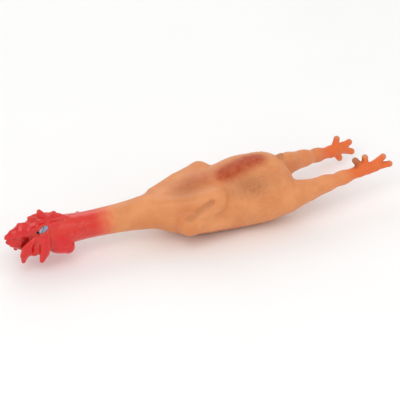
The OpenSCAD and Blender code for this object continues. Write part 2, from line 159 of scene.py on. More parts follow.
class Bench:
    """Builds one material's nodes."""

    def __init__(self, name):
        self.material = bpy.data.materials.new(name)
        self.material.use_nodes = True
        self.nodes = self.material.node_tree.nodes
        self.links = self.material.node_tree.links
        self.shader = self.nodes["Principled BSDF"]

    def add(self, kind, settings, sockets):
        """A node of a kind: its settings first, and then the values or wires of its sockets."""
        node = self.nodes.new(kind)
        for key, value in settings.items():
            setattr(node, key, value)
        for key, value in sockets.items():
            self.feed(node.inputs[key], value)
        return node

    def feed(self, socket, value):
        if isinstance(value, Wire):
            self.links.new(value.socket, socket)
        else:
            socket.default_value = value

    def out(self, node, which=0):
        return Wire(self, node.outputs[which])

    def attribute(self, name, output="Fac"):
        """A number or vector stored on the mesh's points."""
        return self.out(self.add("ShaderNodeAttribute", {"attribute_name": name}, {}), output)

    def place(self):
        """Where a point of the skin is as the chicken lies, in millimetres."""
        return self.attribute("lies_at", "Vector")

    def stretched(self, place, scale):
        node = self.add("ShaderNodeVectorMath", {"operation": "MULTIPLY"}, {0: place, 1: scale})
        return self.out(node)

    def noise(self, place, scale, detail=3.0, rough=0.5):
        sockets = {"Vector": place, "Scale": scale, "Detail": detail, "Roughness": rough}
        return self.out(self.add("ShaderNodeTexNoise", {}, sockets))

    def cells(self, place, scale, feature="F1"):
        sockets = {"Vector": place, "Scale": scale}
        return self.out(self.add("ShaderNodeTexVoronoi", {"feature": feature}, sockets), "Distance")

    def mix(self, share, low, high):
        """A colour that goes from low to high as share goes from 0 to 1."""
        return self.out(self.add("ShaderNodeMix", {"data_type": "RGBA"}, {0: share, 6: low, 7: high}), 2)

    def bump(self, height, strength, distance, normal=None):
        sockets = {"Height": height, "Strength": strength, "Distance": distance}
        if normal is not None:
            sockets["Normal"] = normal
        return self.out(self.add("ShaderNodeBump", {}, sockets))

    def set(self, values):
        for key, value in values.items():
            self.feed(self.shader.inputs[key], value)
        return self.material


# ---- sculpting with distances ----

FAR = 60.0


def smooth_curve(points):
    """A smooth function through [place, value] points, level beyond its ends."""
    xs, ys = np.array(points, float).T
    rises = np.gradient(ys, xs)

    def value(x):
        x = np.clip(x, xs[0], xs[-1])
        k = np.clip(np.searchsorted(xs, x) - 1, 0, len(xs) - 2)
        h = xs[k + 1] - xs[k]
        t = (x - xs[k]) / h
        start = (1 + 2 * t) * (1 - t) ** 2 * ys[k] + t * (1 - t) ** 2 * h * rises[k]
        end = t * t * (3 - 2 * t) * ys[k + 1] + t * t * (t - 1) * h * rises[k + 1]
        return start + end

    return value


def turned(along, up):
    """Three axes as rows: along, up made square to it, and the one across both."""
    along = np.array(along, float)
    along /= np.linalg.norm(along)
    up = np.array(up, float)
    up -= up @ along * along
    up /= np.linalg.norm(up)
    return np.array([along, np.cross(up, along), up])


def ball(centre, radii, axes=np.eye(3)):
    """An egg with its own radii along its axes."""
    centre, radii = np.array(centre, float), np.array(radii, float)

    def distance(p):
        q = (p - centre) @ axes.T
        near = np.linalg.norm(q / radii, axis=1)
        steep = np.linalg.norm(q / radii**2, axis=1)
        return near * (near - 1) / np.maximum(steep, 1e-6)

    reach = np.max(radii)
    return distance, centre - reach, centre + reach


def limb(points, radii, flat=(1, 1, 1)):
    """A chain of round cones, squeezed by flat about its first point."""
    points, flat = np.array(points, float), np.array(flat, float)
    base = points[0]
    scaled = (points - base) / flat

    def distance(p):
        q = (p - base) / flat
        best = np.full(len(p), FAR)
        for k in range(len(points) - 1):
            a, along = scaled[k], scaled[k + 1] - scaled[k]
            t = np.clip((q - a) @ along / max(along @ along, 1e-9), 0, 1)
            radius = radii[k] + t * (radii[k + 1] - radii[k])
            best = np.minimum(best, np.linalg.norm(q - a - t[:, None] * along, axis=1) - radius)
        return best * flat.min()

    reach = max(radii)
    return distance, points.min(0) - reach, points.max(0) + reach


def tube(low_x, high_x, half_w, half_h, middle_z, round_len, round_power):
    """A body along X with oval sections, cut flat at low_x and blunt and round at high_x."""
    def shape(x):
        u = np.clip((high_x - x) / round_len, 1e-3, 1)
        cap = (1 - (1 - u) ** round_power) ** (1 / round_power)
        return half_w(x) * cap, half_h(x) * cap, middle_z(x)

    def around(x, y, z):
        w, h, middle = shape(np.clip(x, low_x, high_x))
        return np.sqrt((y / w) ** 2 + ((z - middle) / h) ** 2) + 1e-9

    def distance(p):
        x, y, z = p.T
        step = 0.25
        w, h, middle = shape(np.clip(x, low_x, high_x))
        q = around(x, y, z)
        slope_x = (around(x + step, y, z) - around(x - step, y, z)) / (2 * step)
        slope = np.sqrt(slope_x**2 + (y / (w**2 * q)) ** 2 + ((z - middle) / (h**2 * q)) ** 2)
        d = (q - 1) / np.maximum(slope, 1 / (2 * np.maximum(w, h)))
        d = np.maximum(d, 0.5 * (q - 1) * np.minimum(w, h))
        return np.maximum(d, np.maximum(low_x - x, x - high_x))

    span = np.linspace(low_x, high_x, 60)
    w, h, middle = shape(span)
    low = np.array([low_x, -w.max(), (middle - h).min()])
    high = np.array([high_x, w.max(), (middle + h).max()])
    return distance, low, high


class Clay:
    """A lump that forms are added to and carved from, each melting into the rest over its own width."""

    def __init__(self):
        self.strokes = []

    def stroke(self, form, melt, mode):
        distance, low, high = form
        reach = 6 + melt
        self.strokes.append((distance, low - reach, high + reach, melt, mode))

    def add(self, form, melt=3.0):
        self.stroke(form, melt, 1)

    def carve(self, form, melt=1.0):
        self.stroke(form, melt, -1)

    def distance(self, p):
        d = np.full(len(p), FAR)
        for form, low, high, melt, mode in self.strokes:
            near = np.flatnonzero(np.all((p > low) & (p < high), axis=1))
            if not len(near):
                continue
            here, new = d[near] * mode, form(p[near])
            soft = np.maximum(melt - np.abs(here - new), 0) / melt
            d[near] = mode * (np.minimum(here, new) - soft**2 * melt / 4)
        return d


def surface_net(distance, low, high, step):
    """Places and four-sided faces of the surface where distance is 0, on a grid of the given step."""
    counts = np.ceil((high - low) / step).astype(int) + 1
    axes = [low[i] + step * np.arange(counts[i]) for i in range(3)]
    grid = np.stack(np.meshgrid(*axes, indexing="ij"), -1).reshape(-1, 3)
    d = distance(grid).reshape(counts)
    inside = d < 0
    cells = counts - 1
    total = np.zeros((*cells, 3))
    hits = np.zeros(cells)
    for a in range(3):
        others = [i for i in range(3) if i != a]
        for shift in ((0, 0), (0, 1), (1, 0), (1, 1)):
            start = np.zeros(3, int)
            start[others] = shift
            end = start.copy()
            end[a] = 1
            one = tuple(slice(s, s + n) for s, n in zip(start, cells))
            two = tuple(slice(s, s + n) for s, n in zip(end, cells))
            crossed = inside[one] != inside[two]
            t = d[one] / np.where(crossed, d[one] - d[two], 1)
            for i in others:
                total[..., i] += crossed * start[i]
            total[..., a] += crossed * t
            hits += crossed
    active = hits > 0
    number = np.full(cells, -1)
    number[active] = np.arange(active.sum())
    places = low + step * (np.argwhere(active) + total[active] / hits[active][:, None])
    quads = []
    for a in range(3):
        b, c = (a + 1) % 3, (a + 2) % 3
        first = np.take(inside, np.arange(counts[a] - 1), axis=a)
        second = np.take(inside, np.arange(1, counts[a]), axis=a)
        for outward in (True, False):
            where = np.argwhere((first & ~second) if outward else (~first & second))
            safe = (where[:, b] > 0) & (where[:, c] > 0) & (where[:, b] < cells[b]) & (where[:, c] < cells[c])
            where = where[safe]
            ring = []
            for db, dc in ((-1, -1), (0, -1), (0, 0), (-1, 0)):
                cell = where.copy()
                cell[:, b] += db
                cell[:, c] += dc
                ring.append(number[tuple(cell.T)])
            quads.append(np.stack(ring if outward else ring[::-1], 1))
    return places, np.concatenate(quads)


def slopes(distance, places):
    """The distance at each place, and the way in which it grows fastest."""
    reach = 0.12
    here = distance(places)
    steps = [distance(places + reach * way) - distance(places - reach * way) for way in np.eye(3)]
    return here, np.stack(steps, 1) / (2 * reach)


def settle(distance, places, step, rounds=3):
    """Moves places onto the surface, a little at a time."""
    for _ in range(rounds):
        here, gradient = slopes(distance, places)
        steep = np.maximum((gradient**2).sum(1), 0.15)
        move = -(here / steep)[:, None] * gradient
        size = np.linalg.norm(move, axis=1, keepdims=True)
        places = places + move * np.minimum(1, 0.4 * step / np.maximum(size, 1e-9))
    return places


# ---- the chicken's clay ----


def face(ahead, side, up):
    """A place on the head: how far behind the face, to the side, and above the neck's line."""
    return np.array([FACE_X + ahead, side, NECK_Z + up])


def body_profile():
    """Half width, half height and middle along the head, neck and torso, each as [place, value] points."""
    head = [
        (6, 15, 17.5, 2.5), (14, 17.2, 20, 1.8), (28, 19, 21.3, 0), (40, 18, 19.5, -0.5), (51, 16.8, 17.2, 0),
    ]
    stations = [(FACE_X + x, w, h, NECK_Z + rise) for x, w, h, rise in head]
    neck_len = CHEST_X - NECK_X[4]
    swell = [(0.95, 0), (0.7, 0.04), (0.45, 0.2), (0.25, 0.48), (0.1, 0.84), (-0.01, 1.16)]
    for share, grown in swell:
        r = NECK_R + (CHEST_R - NECK_R) * grown
        stations.append((CHEST_X - share * neck_len, r, r, NECK_Z))
    torso = [
        (0.07, 0.575, 0.555, 0.87), (0.14, 0.68, 0.64, 0.83), (0.22, 0.78, 0.735, 0.82),
        (0.3, 0.85, 0.82, 0.84), (0.38, 0.865, 0.85, 0.825), (0.46, 0.88, 0.865, 0.84),
        (0.54, 0.94, 0.92, 0.89), (0.64, 0.99, 0.955, 0.93),
        (0.75, 0.99, 0.95, 0.925), (0.85, 0.97, 0.93, 0.93), (0.93, 0.93, 0.9, 0.93), (1, 0.9, 0.87, 0.93),
    ]
    for share, w, h, middle in torso:
        stations.append((CHEST_X + share * TORSO_LEN, w * TORSO_R, h * TORSO_R, middle * TORSO_R))
    return [smooth_curve([(s[0], s[k]) for s in stations]) for k in (1, 2, 3)]


def add_torso(clay, shape):
    half_w, half_h, middle_z = body_profile()
    clay.add(tube(FACE_X + 7, RUMP_X, half_w, half_h, middle_z, 38, 2.4))
    for s in SIDES.values():
        elbow, wrist = (-33, s * 30.5, 57), (-69, s * 33.5, 33)
        clay.add(limb([(-95, s * 15, 53), (-64, s * 26, 55), elbow], [5, 8.5, 11.5]), 11)
        clay.add(limb([elbow, (-52, s * 34, 44), wrist], [10.5, 9.5, 12]), 8)
        clay.add(limb([wrist, (-46, s * 35.5, 29), (-24, s * 34, 24)], [11.5, 8.5, 5]), 9)
        crease = [(-44, s * 40, 61), (-53, s * 42, 55.5), (-62, s * 44.5, 50), (-69, s * 45, 45)]
        clay.carve(limb(crease, [1.8, 2.6, 2.6, 1.6]), shape.crease_softness)
        clay.carve(limb([(-20, s * 40, 60), (-21, s * 43, 50), (-26, s * 45, 42)], [1.3, 1.8, 1.4]), 8)
        clay.carve(limb([(-34, s * 44.5, 38), (-46, s * 46.5, 39), (-54, s * 46, 42)], [1, 1.3, 1]), 5)
        clay.carve(limb([(10, s * 41, 12), (15, s * 45.5, 26), (20, s * 48, 42)], [2.5, 3.4, 2.5]), 8)
    clay.add(limb([(53, 0, 70), (57, 0, 75), (58.5, 0, 78)], [6, 4.6, 2.4], (1, 1.2, 1)), 4)
    clay.carve(limb([(64, 0, 66), (69, 0, 56), (71.5, 0, 46)], [2.5, 3.2, 2.5]), 8)


def add_face(clay, shape):
    clay.add(ball(face(13, 0, 3), (19, 14.6, 17.5)), 3)
    beak_flat = (1, 0.82, 1)
    upper = [face(4, 0, 7), face(-9, 0, 9), face(-19, 0, 7.6), face(-26, 0, 5.6), face(-29, 0, 3.4)]
    clay.add(limb(upper, [13.5, 10.6, 7, 4, 1.8], beak_flat), 4)
    lower = [face(4, 0, -5), face(-9, 0, -5.8), face(-19, 0, -3.6), face(-26, 0, -1.2)]
    clay.add(limb(lower, [12.5, 8.8, 5.8, 2.6], beak_flat), 3)
    for s in SIDES.values():
        mouth = [face(-31, 0, 1.8), face(-25, s * 4, 2.4), face(-14, s * 8.2, 1.2), face(-3, s * 11, 0.6)]
        clay.carve(limb(mouth, [1.2, 1.3, 1.2, 0.8]), 1.6)
        clay.carve(limb([face(-20, s * 5.3, 11), face(-15.5, s * 6.9, 12.6)], [0.8, 1]), 0.8)
        brow = [face(2, s * 9.5, 14), face(11, s * 12, 18), face(21, s * 12.5, 18.5), face(30, s * 10, 18)]
        clay.add(limb(brow, [2, 2.4, 2.4, 1.6]), 5)


def add_comb(clay, shape):
    flat = (1, shape.comb_thickness / 10, 1)
    ridge = [face(-10, 0, 14), face(0, 0, 15), face(12, 0, 17.5), face(26, 0, 18), face(42, 0, 15)]
    clay.add(limb(ridge, [4.4, 5.2, 5.4, 5.4, 4], (1, 0.85, 1)), 2.5)
    lobes = [
        ([face(-3, 0, 14), face(-8, 0, 17), face(-12, 0, 19.4)], [5.6, 4.6, 3]),
        ([face(6, 0, 17), face(3.5, 0, 22), face(1, 0, 26)], [6, 4.8, 2.8]),
        ([face(19, 0, 17), face(16, 0, 24), face(13.5, 0, 29), face(12.4, 0, 32.4)], [7.6, 5.6, 4.2, 2.8]),
        ([face(24, 0, 18), face(28, 0, 22.5), face(30, 0, 26.2)], [6.6, 5, 2.6]),
        ([face(29, 0, 21.5), face(36, 0, 20), face(43, 0, 17)], [5.4, 4.2, 2.6]),
    ]
    for points, radii in lobes:
        clay.add(limb(points, radii, flat), 1.7)
    for s in SIDES.values():
        crease = [
            face(-4, s * 7, 18), face(10, s * 7, 22.2), face(25, s * 6.8, 22.4), face(40, s * 5.5, 18.5),
        ]
        clay.carve(limb(crease, [0.6, 0.8, 0.8, 0.6]), 3)


def add_wattles(clay, shape):
    flat = (1, shape.wattle_thickness / 10, 1)
    drop = shape.wattle_length
    for s in SIDES.values():
        cheek = ball(face(32.5, s * 12, -7.5), (14.5, 10.5, 14))
        clay.add(cheek, 4)
        clay.add(limb([face(37, s * 14.5, -11), face(41.5, s * 15, -14)], [9, 8.2]), 4)
        front = [
            face(10, s * 14.2, 8), face(0, s * 14.6, 1), face(-7, s * 14.6, -6),
            face(-11, s * 14.6, -14 * drop), face(-12, s * 14, -22 * drop),
        ]
        clay.add(limb(front, [6, 6, 6.2, 5.2, 2.7], flat), 3)
        rear = [
            face(13, s * 16.5, 9), face(14, s * 19.5, -2),
            face(11.5, s * 20, -12 * drop), face(8.5, s * 20, -22 * drop),
        ]
        clay.add(limb(rear, [7, 7.4, 6.4, 3.2], flat), 3)
        web = [face(-6, s * 13, -8), face(2, s * 13.5, -11), face(9, s * 15, -9)]
        clay.add(limb(web, [6, 7, 6], (1, 0.5, 1)), 3)
        clay.carve(ball(face(1.5, s * 21, -7), (4.2, 6.5, 10)), 2.5)
        groove = [face(21.5, s * 21, 5), face(21.8, s * 23.5, -7), face(20, s * 23, -17)]
        clay.carve(limb(groove, [1.4, 2, 2]), 3)
        for at, rise in ((49, 4), (57, 7.5), (64, 9)):
            fold = [
                face(at - 1.5, s * 11.2, rise + 3), face(at + 1, s * 14.4, rise), face(at, s * 15.4, rise - 5),
            ]
            clay.add(limb(fold, [0.8, 1.5, 0.8]), 3)


def add_leg(clay, shape, side):
    s = SIDES[side]
    hip, knee, hock, ankle, ball_of_foot = leg_line(side)
    r = shape.leg_radius
    chain = [(28, s * 23, 35), (54, s * 26.5, 37.5), hip, knee, hock, ankle]
    clay.add(limb(chain, [21, 19.5, r * 1.9, r * 1.32, r * 1.03, r * 0.94]), 8)
    along = (ball_of_foot - ankle) / np.linalg.norm(ball_of_foot - ankle)
    lift = np.array([0, 0, 1.0]) - along[2] * along
    lift /= np.linalg.norm(lift)
    aside = np.cross(lift, along)
    spread = lift + 0.35 * aside
    spread /= np.linalg.norm(spread)

    def foot(ahead, up, out=0.0):
        return ankle + ahead * along + up * spread + out * aside

    clay.add(ball(knee + 1.2 * lift, (r * 1.5, r * 1.2, r * 1.2)), 7)
    clay.add(ball(hock + 0.6 * lift, (r * 1.3, r * 1.05, r * 1.07)), 6)
    clay.add(limb([foot(0, 0), foot(11, 0), foot(21, 0)], [r * 0.96, r * 1.02, r * 0.86]), 4)
    if side == "left":
        toes = [(20, 0, 41, -1.5), (19, 2, 33.5, 9), (8, 3, 9, 14), (3.5, 3, -4.5, 13.5)]
    else:
        toes = [(19, 1, 31.5, 3.5), (18, -2, 33.5, -8.5), (8, 3, 12.5, 12.5), (8, -3, 13, -11)]
    tips = []
    for from_ahead, from_up, to_ahead, to_up in toes:
        root, tip = foot(from_ahead, from_up), foot(to_ahead, to_up)
        middle = root + 0.55 * (tip - root)
        clay.add(limb([root, middle, tip], [4.9, 4.2, 3.5]), 2.4)
        clay.add(ball(tip, (3.7, 3.7, 3.7)), 1)
        tips.append(tip + 1.2 * (tip - middle) / np.linalg.norm(tip - middle))
    for one, two in ((0, 1), (2, 3)):
        web = foot((toes[one][0] + toes[two][0]) / 2 + 4, (toes[one][1] + toes[two][1]) / 2)
        clay.add(limb([web, web + 3 * along], [3.6, 2.6]), 3)
    return {"along": along, "tips": tips, "ankle": ankle}


class Chicken:
    """The whole sculpt: its clay, and the places that the paint needs."""

    def __init__(self, shape):
        clay = Clay()
        add_torso(clay, shape)
        add_face(clay, shape)
        add_comb(clay, shape)
        add_wattles(clay, shape)
        self.feet = {side: add_leg(clay, shape, side) for side in SIDES}
        self.eyes = {side: self.cut_socket(clay, s) for side, s in SIDES.items()}
        belly = (lambda p: p[:, 2], np.array([CHEST_X, -TORSO_R, -20]), np.array([RUMP_X, TORSO_R, 4]))
        clay.carve(belly, 2.5)
        self.clay = clay
        self.wall = shape.wall

    def cut_socket(self, clay, s):
        """An almond hollow with lids, slanted over the side of the head. Returns its middle and its axes."""
        middle = settle(clay.distance, face(13, s * 12, 16.4)[None], 4, 8)
        normal = slopes(clay.distance, middle)[1][0]
        middle = middle[0]
        axes = turned((0.91, -0.28 * s, 0.38), normal)
        along, across, out = axes
        out = out if out @ normal > 0 else -out
        axes = np.array([along, across, out])

        def at(forward, sideways, height):
            return middle + forward * along + sideways * across + height * out

        shares = ((-8.6, 0.3), (-4.3, 3.1), (0, 4.2), (4.3, 3.1), (8.6, 0.3))
        for way in (-1, 1):
            lid = [at(forward * 1.06, way * (wide + 0.7), -0.3) for forward, wide in shares]
            clay.add(limb(lid, [0.5, 1, 1.2, 1, 0.5]), 1.6)
        trench = [at(forward, 0, 1.9) for forward, wide in shares]
        clay.carve(limb(trench, [1.7, 3.3, 4.1, 3.3, 1.7]), 0.6)
        return {"middle": middle, "axes": axes}


# ---- paint and painted shade, as amounts stored on the skin ----


def near(places, centre, radii, soft):
    """1 inside a soft egg and 0 beyond it."""
    q = np.linalg.norm((places - np.array(centre)) / np.array(radii), axis=1)
    t = np.clip((1 + soft - q) / (2 * soft), 0, 1)
    return t * t * (3 - 2 * t)


def past(amount, low, high):
    """0 below low, 1 above high, smooth between."""
    t = np.clip((amount - low) / (high - low), 0, 1)
    return t * t * (3 - 2 * t)


def to_line(places, points):
    """How far each place is from a line through the points."""
    form = limb(points, [0.0] * len(points))[0]
    return form(places)


def paint_amounts(chicken, places, normals):
    """Every paint's amount at each place on the skin, painted shade among them."""
    x, y, z = places.T
    paint = {"red": 1 - past(x, NECK_X[4] + 10, NECK_X[4] + 42)}
    streak = to_line(places, [(-12, -8, 76), (6, -5, 80), (26, 1, 80)])
    rust = 1 - past(streak, 4, 21)
    rust += 0.55 * near(places, (-50, -5, 72), (28, 13, 12), 0.9)
    paint["rust"] = np.clip(rust, 0, 1)
    # brown patches on the back, towards the near side
    brown_and_shade = 0.8 * near(places, (8, -30, 66), (24, 13, 12), 0.8)
    brown_and_shade += 0.6 * near(places, (-64, -12, 66), (20, 14, 12), 0.8)
    # painted shade: brown along each wing crease
    for s in SIDES.values():
        line = to_line(places, [(-40, s * 36, 60), (-52, s * 38, 55), (-64, s * 40, 49), (-72, s * 40, 44)])
        brown_and_shade += 0.55 * (1 - past(line, 1.5, 7))
    brown_and_shade += 0.9 * near(places, (57, 0, 78), (5, 6, 5), 0.5)
    paint["brown_and_shade"] = np.clip(brown_and_shade, 0, 1)
    orange, claw = np.zeros(len(x)), np.zeros(len(x))
    for side, foot in chicken.feet.items():
        along = (places - foot["ankle"]) @ foot["along"]
        on_side = (y * SIDES[side] > -5) | (x > 130)
        reach = np.linalg.norm(places - foot["ankle"], axis=1) < 90
        sprayed = 0.3 * past(along, -80, -15) + 0.7 * past(along, -30, -6)
        orange = np.maximum(orange, sprayed * on_side * reach)
        for tip in foot["tips"]:
            claw = np.maximum(claw, 1 - past(np.linalg.norm(places - tip, axis=1), 2.4, 5.4))
    paint["orange"], paint["claw"] = orange, claw
    # painted shade: the hallux darkened with brown
    hallux = chicken.feet["left"]["tips"][3]
    paint["brown_and_shade"] = np.maximum(paint["brown_and_shade"], 1 - past(np.linalg.norm(places - hallux, axis=1), 5, 12))
    # painted shade: darker wherever the skin curves in, in creases and hollows
    deep = chicken.clay.distance(places + 4 * normals)
    paint["crease_shade"] = np.clip((3.7 - deep) / 3.2, 0, 1)
    fine = chicken.clay.distance(places - 2.2 * normals)
    paint["edge"] = np.clip((fine + 2.2) / 1.6, 0, 1)
    bumpy = near(places, (14, 0, 46), (60, 60, 46), 0.25) * past(z, 20, 40)
    paint["bumpy"] = bumpy * (0.25 + 0.75 * near(places, (18, -30, 62), (26, 26, 22), 0.8))
    return paint


# ---- making the meshes ----


def cut_away(places, quads, cuts):
    """The mesh without what is beyond each cut, given as (place, outward way)."""
    mesh = bmesh.new()
    corners = [mesh.verts.new(p) for p in places]
    for quad in quads:
        mesh.faces.new([corners[i] for i in quad])
    for place, way in cuts:
        parts = mesh.verts[:] + mesh.edges[:] + mesh.faces[:]
        bmesh.ops.bisect_plane(
            mesh, geom=parts, dist=1e-5, plane_co=tuple(place), plane_no=tuple(way), clear_outer=True
        )
    loose = [v for v in mesh.verts if not v.link_faces]
    bmesh.ops.delete(mesh, geom=loose, context="VERTS")
    mesh.verts.index_update()
    places = np.array([v.co for v in mesh.verts])
    faces = [[v.index for v in f.verts] for f in mesh.faces]
    rim = [
        (e.link_loops[0].vert.index, e.link_loops[0].link_loop_next.vert.index)
        for e in mesh.edges if len(e.link_faces) == 1
    ]
    mesh.free()
    return places, faces, rim


def skin(chicken, name, low, high, step, cuts):
    """A closed shell of latex inside a box, cut square at its ends, with its paint and smooth normals."""
    distance = chicken.clay.distance
    places, quads = surface_net(distance, np.array(low, float), np.array(high, float), step)
    places = settle(distance, places, step)
    places, faces, rim = cut_away(places, quads, cuts)
    gradient = slopes(distance, places)[1]
    normals = gradient / np.maximum(np.linalg.norm(gradient, axis=1, keepdims=True), 1e-6)
    inward = normals.copy()
    edge = sorted({i for pair in rim for i in pair})
    for i in edge:
        flat_way = min(cuts, key=lambda cut: abs((places[i] - cut[0]) @ cut[1]))[1]
        inward[i] -= inward[i] @ flat_way * np.array(flat_way)
        inward[i] /= np.linalg.norm(inward[i])
    inner = places - chicken.wall * inward
    n = len(places)
    everything = np.concatenate([places, inner]) * MM
    faces_in = [[i + n for i in reversed(f)] for f in faces]
    faces_rim = [[b, a, a + n, b + n] for a, b in rim]
    mesh = bpy.data.meshes.new(name)
    mesh.from_pydata(everything.tolist(), [], faces + faces_in + faces_rim)
    mesh.shade_smooth()
    for key, amount in paint_amounts(chicken, places, normals).items():
        hidden = np.zeros(n) if key == "bumpy" else amount
        store = mesh.attributes.new(key, "FLOAT", "POINT")
        store.data.foreach_set("value", np.concatenate([amount, hidden]).astype(np.float32))
    store = mesh.attributes.new("lies_at", "FLOAT_VECTOR", "POINT")
    store.data.foreach_set("vector", np.concatenate([places, inner]).astype(np.float32).ravel())
    mesh.normals_split_custom_set_from_vertices(np.concatenate([normals, -normals]).tolist())
    return show(name, mesh)


def show(name, mesh):
    piece = bpy.data.objects.new(name, mesh)
    bpy.context.scene.collection.objects.link(piece)
    return piece


def metres(place):
    return Vector(np.array(place, float) * MM)


def finish_piece(piece, nodes, material):
    piece.data.materials.clear()
    piece.data.materials.append(material)
    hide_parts(*nodes)


# ---- materials ----


def paint_latex(name):
    """Moulded latex: tan, sprayed with red, rust and orange, with brown patches, a rubbery sheen and fine
    pores; painted shade darkens its creases, hollows, wing creases and hallux.
    """
    b = Bench(name)
    place = b.place()
    red, rust, brown_and_shade = b.attribute("red"), b.attribute("rust"), b.attribute("brown_and_shade")
    orange, claw = b.attribute("orange"), b.attribute("claw")
    crease_shade, edge = b.attribute("crease_shade"), b.attribute("edge")
    cloud = b.noise(place, 0.035, 3, 0.55)
    mottle = b.noise(place, 0.16, 4, 0.6)
    speck = b.noise(place, 1.1, 2, 0.6)
    grain = b.noise(place, 3.2, 2, 0.5)
    mist = mottle.between(0.3, 0.72) * 0.6 + speck.between(0.35, 0.7) * 0.4

    tan = b.mix(cloud.between(0.3, 0.7), srgb(211, 132, 79), srgb(222, 146, 92))
    tan = b.mix(mottle.between(0.5, 0.8) * 0.35, tan, srgb(230, 162, 110))
    # painted shade: the tan darkens in creases and hollows
    tan = b.mix(crease_shade * 0.5, tan, srgb(184, 104, 56))
    sprayed = (rust * (0.75 + mist * 0.5)).clamped()
    tan = b.mix(sprayed, tan, srgb(172, 62, 4))
    foot = (orange * (0.85 + mist * 0.3)).clamped()
    # the foot's orange also darkens in creases: painted shade
    tan = b.mix(foot, tan, b.mix(crease_shade, srgb(224, 104, 38), srgb(192, 70, 18)))
    tan = b.mix((claw * (0.8 + speck * 0.3)).clamped() * 0.85, tan, srgb(204, 148, 116))
    # brown patches, with painted shade along the wing creases and over the hallux
    dark_patch_and_shade = (brown_and_shade * (0.55 + mist * 0.6)).clamped()
    tan = b.mix(dark_patch_and_shade * 0.75, tan, srgb(152, 92, 50))

    scarlet = b.mix(mottle.between(0.35, 0.75), srgb(205, 13, 10), srgb(219, 24, 22))
    # painted shade: the red goes dark in creases and hollows
    scarlet = b.mix(crease_shade.between(0.25, 1.0) * 0.85, scarlet, srgb(150, 8, 6))
    scarlet = b.mix(edge.between(0.15, 0.9) * 0.45, scarlet, srgb(214, 66, 36))
    fade = (red + (mist - 0.5) * red * (1.0 - red) * 2.2).clamped()
    colour = b.mix(fade, tan, scarlet)
    warm = (fade * (1.0 - fade) * 3.0).clamped()
    colour = b.mix(warm * 0.45, colour, srgb(224, 94, 64))
    dust = (grain.between(0.66, 0.8) * speck.between(0.5, 0.75)).clamped()
    colour = b.mix(dust * 0.22, colour, srgb(242, 200, 158))

    ripple = b.noise(place, 0.11, 2, 0.4)
    pores = b.cells(place, 0.9)
    low_bump = b.bump(ripple, 0.35, 0.0016)
    mid_bump = b.bump(mottle * 0.5 + pores * 0.35, 0.32, 0.0005, low_bump)
    fine_bump = b.bump(grain, 0.22, 0.00012, mid_bump)
    rough = 0.46 - fade * 0.14 + (mottle - 0.5) * 0.16 + sprayed * 0.06 + dust * 0.1
    return b.set({
        "Base Color": colour,
        "Roughness": rough.clamped(),
        "Normal": fine_bump,
        "Coat Weight": (0.06 + fade * 0.4).clamped(),
        "Coat Roughness": 0.12,
        "Specular IOR Level": 0.36,
        "IOR": 1.52,
        "Subsurface Weight": 0.12,
        "Subsurface Radius": (0.006, 0.0026, 0.0014),
        "Subsurface Scale": 0.5,
    })


def paint_eye(name):
    """A hand-painted eye: pale blue-grey, with a dark slanting slit, a dark rim and a thick gloss."""
    b = Bench(name)
    place = b.place()
    split = b.add("ShaderNodeSeparateXYZ", {}, {0: place})
    along, across = b.out(split, 0), b.out(split, 1)
    wobble = b.noise(place, 0.6, 2, 0.5) - 0.5
    slit_place = along * 0.42 - across + 0.9 + wobble * 0.9
    slit = 1.0 - slit_place.maths("ABSOLUTE", slit_place).between(0.25, 0.85)
    inside = along.between(-5.4, -3.8) * (1.0 - along.between(1.2, 2.8))
    brushed = b.noise(b.stretched(place, (0.5, 3.0, 1.0)), 0.8, 3, 0.6)
    iris = b.mix(brushed.between(0.3, 0.7), srgb(104, 112, 140), srgb(152, 160, 182))
    out_from = along.maths("POWER", along / 7.6, 2.0) + along.maths("POWER", across / 3.9, 2.0)
    iris = b.mix(out_from.between(0.5, 0.95), iris, srgb(58, 50, 66))
    colour = b.mix(slit * inside, iris, srgb(24, 22, 32))
    normal = b.bump(brushed, 0.25, 0.0002)
    return b.set({
        "Base Color": colour, "Roughness": 0.24 + brushed * 0.12, "Normal": normal, "Coat Weight": 0.8,
        "Coat Roughness": 0.06,
    })


def moulded_plastic(name, low, high, rough, clear):
    """Injection-moulded plastic: faint flow marks, fine scratches and a slight see-through depth."""
    b = Bench(name)
    place = b.out(b.add("ShaderNodeTexCoord", {}, {}), "Object")
    flow = b.noise(b.stretched(place, (1.0, 1.0, 3.0)), 160, 3, 0.6)
    grain = b.noise(place, 2600, 2, 0.5)
    marks = b.noise(b.stretched(place, (9.0, 1.0, 1.0)), 420, 2, 0.7)
    colour = b.mix(flow.between(0.3, 0.7), low, high)
    colour = b.mix(marks.between(0.62, 0.8) * 0.25, colour, srgb(206, 198, 182))
    normal = b.bump(grain * 0.4 + marks * 0.3, 0.2, 0.00004)
    return b.set({
        "Base Color": colour, "Normal": normal,
        "Roughness": (rough + (flow - 0.5) * 0.15 + marks * 0.08).clamped(),
        "Subsurface Weight": clear, "Subsurface Radius": (0.002, 0.0018, 0.0014), "Subsurface Scale": 0.4,
        "IOR": 1.49,
    })


def paint_floor(name):
    b = Bench(name)
    place = b.out(b.add("ShaderNodeTexCoord", {}, {}), "Object")
    soft = b.noise(place, 9, 2, 0.5)
    colour = b.mix(soft, srgb(243, 243, 243), srgb(247, 247, 246))
    return b.set({
        "Base Color": colour, "Roughness": 0.75,
    })


# ---- goose bumps ----


